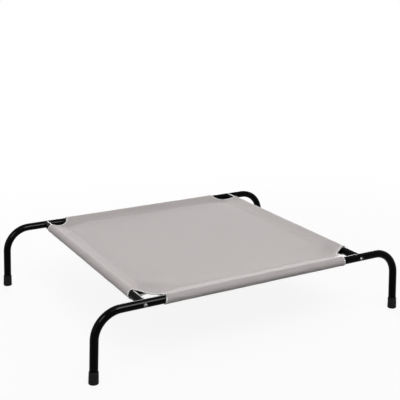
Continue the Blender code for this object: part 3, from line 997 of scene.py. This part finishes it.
# %% Relief of the cloth
HEM_BAND = 0.011
HEM_SLOPE = 0.0007
HEM_LIFT = 0.00035
STITCH_SINK = 0.00030
SINK_WIDTH = 0.0008
RIPPLE_LENGTH = 0.045
RIPPLE_WIDTH = 0.018
RIPPLE_SHEAR = 0.90
RIPPLE_LIFT = 0.00065
RIPPLE_FULL = 0.050
RIPPLE_GONE = 0.120
RIPPLE_BASE = 0.4
SMALL_RIPPLES = 0.4
SMALL_RIPPLE_SCALE = 2.1
ROUND_TUBE_FROM = -0.004
PANEL_WAVE = 0.110
PANEL_WAVE_LIFT = 0.0004
CROSS_SEED, RAIL_SEED, PANEL_SEED = 3.0, 9.0, 21.0


def ripple(along, across, seed):
    place = Vector(((along + RIPPLE_SHEAR * across) / RIPPLE_LENGTH, across / RIPPLE_WIDTH, seed))
    return noise.noise(place) + SMALL_RIPPLES * noise.noise(SMALL_RIPPLE_SCALE * place)


def relief(flat):
    """How far the cloth stands off its plain form at a flat point."""
    u, v = flat
    from_edge = EDGE_TREE.find(flat.to_3d())[2]
    lift = HEM_LIFT * (1 - ease(from_edge, HEM_BAND - HEM_SLOPE, HEM_BAND))
    lift -= STITCH_SINK * max(0.0, 1 - abs(from_edge - HEM_BAND) / SINK_WIDTH)
    past_x, past_y = abs(u) - EDGE_X, abs(v) - EDGE_Y
    if abs(past_x) < abs(past_y):
        past, wave = past_x, ripple(v, u, CROSS_SEED + math.copysign(1, u))
    else:
        past, wave = past_y, ripple(u, v, RAIL_SEED + math.copysign(1, v))
    if ROUND_TUBE_FROM < past < ARC_LENGTH:
        wave = max(0.0, RIPPLE_BASE + wave)
    lift += RIPPLE_LIFT * wave * (1 - ease(abs(past), RIPPLE_FULL, RIPPLE_GONE))
    swell = noise.noise(Vector((u / PANEL_WAVE, v / PANEL_WAVE, PANEL_SEED)))
    return lift + PANEL_WAVE_LIFT * swell


print(f"hem stands {1000 * HEM_LIFT} mm, ripples about {1000 * RIPPLE_LIFT} mm")

# %% [markdown]
# ### Wrapping the cloth
# Each flat point is placed on the frame and moved along the normal by its relief. A cloth
# simulation could drape it, but the form of a taut sheet is known, and a function gives it
# the same way each time. The sheet is one layer. A Solidify modifier makes it as thick as
# cloth and puts a much darker colour on its back, painted shade for the insides of the sleeves.

# %% Wrap the cloth round the frame
def cover_mesh():
    bm = bmesh.new()
    verts = [bm.verts.new(on_frame(*point)) for point in cloth_points]
    cut_pattern = bm.loops.layers.uv.new("cut_pattern")
    for face in cloth_faces:
        made = bm.faces.new([verts[i] for i in face])
        for loop, i in zip(made.loops, face):
            loop[cut_pattern].uv = cloth_points[i]
    bm.normal_update()
    for vert, point in zip(verts, cloth_points):
        vert.co += relief(point) * vert.normal
    mesh = bpy.data.meshes.new("sling_cloth")
    bm.to_mesh(mesh)
    bm.free()
    return mesh


cover = add_piece("sling_cloth", cover_mesh(), COVER_CLOTH, "cover", "sling_cover")
# The dark back face is painted shade for the insides of the sleeves.
cover.data.materials.append(SHADE_DARK_CLOTH_BACK)
thickness = cover.modifiers.new("cloth_thickness", "SOLIDIFY")
thickness.material_offset = 1
thickness.thickness = CLOTH_THICKNESS
thickness.offset = 0.0
thickness.use_even_offset = True
print(f"cloth has {len(cover.data.vertices)} points")

# %% [markdown]
# ## Tape, stitches and tacks
# A folded tape closes each cut edge. It is a U that is swept along the edge and laid over
# both faces of the cloth. Its place comes from the same function that wraps the cloth, so
# it can't drift off.

# %% Bind the cut edges
TAPE_WIDTH = 0.0038
TAPE_THICKNESS = 0.0003
TAPE_LIP = 0.0004
TAPE_SWELL = 0.0001
EDGE_PROBE = 0.0005
FACE_PROBE = 0.0004


def outward_at(flat):
    """The outward direction of the wrapped cloth at a flat point."""
    here = on_frame(*flat)
    along_u = on_frame(flat.x + FACE_PROBE, flat.y) - here
    along_v = on_frame(flat.x, flat.y + FACE_PROBE) - here
    return along_u.cross(along_v)


def tape_ring(flat, inward):
    """A closed U round the cut edge: its outside, then back along its inside."""
    here = on_frame(*flat)
    along = Vector((inward.y, -inward.x))
    into, beside = [(on_frame(*(flat + EDGE_PROBE * way)) - here).normalized()
                    for way in (inward, along)]
    face = beside.cross(into).normalized()
    if face.dot(outward_at(flat)) < 0:
        face = -face
    half = CLOTH_THICKNESS / 2 + HEM_LIFT
    outer = half + TAPE_THICKNESS
    section = [(TAPE_WIDTH, outer), (0.4 * TAPE_WIDTH, outer + TAPE_SWELL), (0.0, outer),
               (-TAPE_LIP, 0.4 * outer)]
    section += [(a, -b) for a, b in section[::-1]]
    section += [(TAPE_WIDTH, -0.5 * half), (TAPE_WIDTH, 0.5 * half)]
    return [here + a * into + (b + HEM_LIFT / 2) * face for a, b in section]


for corner in BORDERS:
    rings = [tape_ring(flat, inward) for flat, inward in BORDERS[corner]]
    middles = [sum(rings[i], Vector()) / len(rings[i]) for i in (0, -1)]
    mesh = ringed_mesh(f"{corner}_edge_tape", [[middles[0]], *rings, [middles[1]]])
    add_piece(f"{corner}_edge_tape", mesh, EDGE_TAPE, "cover")

# %% [markdown]
# ### Stitches
# One stitch is a short thread that comes up through the cloth, lies on it and goes down
# again. The rows follow the two seam lines of each sleeve, above and below, and the hem.
# A painted row would be lighter, but it would look flat from near by.

# %% Sew the seams and hems
STITCH_PITCH = 0.0050
STITCH_LENGTH = 0.0036
THREAD_RADIUS = 0.00030
STITCH_SIDES = 5
STITCH_BOW = ((0.0, -1.0), (0.16, 0.5), (0.5, 0.9), (0.84, 0.5), (1.0, -1.0))
SEAM_ROWS = (0.0010, 0.0085)
SEAM_END_INSET = 0.062
FLAT_AXES = (Vector((1.0, 0.0)), Vector((0.0, 1.0)))


def sew(bm, flat, direction, length):
    """A thread centred on a flat point: it bows up, with both tips in the cloth."""
    face = outward_at(flat).normalized()
    lift = CLOTH_THICKNESS / 2 + relief(flat)
    start, end = [on_frame(*(flat + reach * direction)) + lift * face
                  for reach in (-length / 2, length / 2)]
    across = (end - start).normalized().cross(face).normalized()
    rings = [circle(start.lerp(end, t) + depth * THREAD_RADIUS * face, across, face,
                    THREAD_RADIUS, STITCH_SIDES) for t, depth in STITCH_BOW]
    tips = [place - 2 * THREAD_RADIUS * face for place in (start, end)]
    skin_rings(bm, [[tips[0]], *rings, [tips[1]]])


def stitch_piece(name, bm):
    return add_piece(name, finished_mesh(name, bm), SEWING_THREAD, "cover")


def sew_seam(name, axis, sign):
    """Both rows of one sleeve's seam, on the panel and on the hem under it."""
    edge = (EDGE_X, EDGE_Y)[1 - axis]
    half_along = (EDGE_X, EDGE_Y)[axis] + EDGE_INSET - SEAM_END_INSET
    bm = bmesh.new()
    for i in range(int(2 * half_along / STITCH_PITCH)):
        for row in SEAM_ROWS:
            for out in (edge + EDGE_INSET - SEAM_INSET - row, edge + SEAM_S + row):
                flat = Vector((sign * out, sign * out))
                flat[axis] = -half_along + (i + 0.5) * STITCH_PITCH
                sew(bm, flat, FLAT_AXES[axis], STITCH_LENGTH)
    return stitch_piece(name, bm)


threads = [sew_seam(f"{sleeve}_seam_thread", axis, sign) for sleeve, axis, sign in
           (("left", 1, -1), ("right", 1, 1), ("front", 0, -1), ("rear", 0, 1))]
every = round(STITCH_PITCH / BORDER_STEP)
for corner in BORDERS:
    bm = bmesh.new()
    for flat, inward in BORDERS[corner][every:-every:every]:
        sew(bm, flat + HEM_BAND * inward, Vector((inward.y, -inward.x)), STITCH_LENGTH)
    threads.append(stitch_piece(f"{corner}_hem_thread", bm))
print(f"{len(threads)} lines of stitching")

# %% [markdown]
# ### Bar tacks
# Where a seam ends at a sleeve's mouth it is pulled hardest, so it gets a bar tack: a few
# stitches side by side across the end of the seam.

# %% Tack the seam ends
TACK_LENGTH = 0.0085
TACK_STITCHES = 7
TACK_SPACING = 0.0007
TACK_INSET = SEAM_INSET + 0.005
CROSS_MOUTH_INSET = 0.066
RAIL_MOUTH_INSET = 0.068


def tack(name, flat, direction):
    """A bar tack: short threads side by side, each lying along a direction."""
    across = Vector((direction.y, -direction.x))
    bm = bmesh.new()
    for i in range(TACK_STITCHES):
        shift = (i - (TACK_STITCHES - 1) / 2) * TACK_SPACING
        sew(bm, flat + shift * across, direction, TACK_LENGTH)
    return stitch_piece(name, bm)


for corner, side, front in CORNERS:
    for kind, axis, inset_x, inset_y in (("cross", 0, TACK_INSET, CROSS_MOUTH_INSET),
                                         ("rail", 1, RAIL_MOUTH_INSET, TACK_INSET)):
        flat = Vector((side * (JOINT_X - inset_x), front * (RAIL_Y - inset_y)))
        threads.append(tack(f"{corner}_{kind}_tack", flat, FLAT_AXES[axis]))

# %% [markdown]
# ## Floor
# A plain white floor. Near the bed it is partly matt paint, so the shadow shows. Further
# off it glows pure white, so no horizon can be seen. The light that it throws back up is
# held down, or the undersides of the sleeves would look as bright as their tops. From
# below it is clear, so that the bed can be looked at from there too.

# %% Lay the floor
FLOOR_HALF = 30.0
FLOOR_SQUARES = 8
FLOOR_GLOW = 0.87
SHADOW_FADES_FROM = 0.8
SHADOW_GONE_AT = 2.0
FLOOR_PAINT = 0.90
FLOOR_BOUNCE = 0.20


def mix_shaders(tree, mask, first, second):
    return add_node(tree, "MixShader", {0: mask, 1: first.outputs[0], 2: second.outputs[0]})


def floor_finish():
    made = bpy.data.materials.new("white_floor")
    made.use_nodes = True
    tree = made.node_tree
    tree.nodes.clear()
    path = add_node(tree, "LightPath").outputs
    seen = seen_mask(tree, path)
    matt = add_node(tree, "BsdfDiffuse", {"Color": between(tree, seen, FLOOR_BOUNCE, FLOOR_PAINT)})
    place = add_node(tree, "TexCoord").outputs["Object"]
    distance = add_node(tree, "VectorMath", {0: place}, operation="LENGTH").outputs["Value"]
    share = add_node(tree, "MapRange", {"Value": distance, "From Min": SHADOW_FADES_FROM,
                                        "From Max": SHADOW_GONE_AT, "To Min": FLOOR_GLOW},
                     interpolation_type="SMOOTHSTEP").outputs["Result"]
    glow = math_node(tree, "MULTIPLY", seen, share)
    top = mix_shaders(tree, glow, matt, add_node(tree, "Emission"))
    underside = add_node(tree, "NewGeometry").outputs["Backfacing"]
    below = math_node(tree, "MULTIPLY", underside, path["Is Camera Ray"])
    surface = mix_shaders(tree, below, top, add_node(tree, "BsdfTransparent"))
    add_node(tree, "OutputMaterial", {"Surface": surface.outputs[0]})
    return made


bm = bmesh.new()
bmesh.ops.create_grid(bm, x_segments=FLOOR_SQUARES, y_segments=FLOOR_SQUARES, size=FLOOR_HALF)
floor = link_object("floor", finished_mesh("floor", bm))
floor.data.materials.append(floor_finish())
print(f"floor {2 * FLOOR_HALF:.0f} m across")
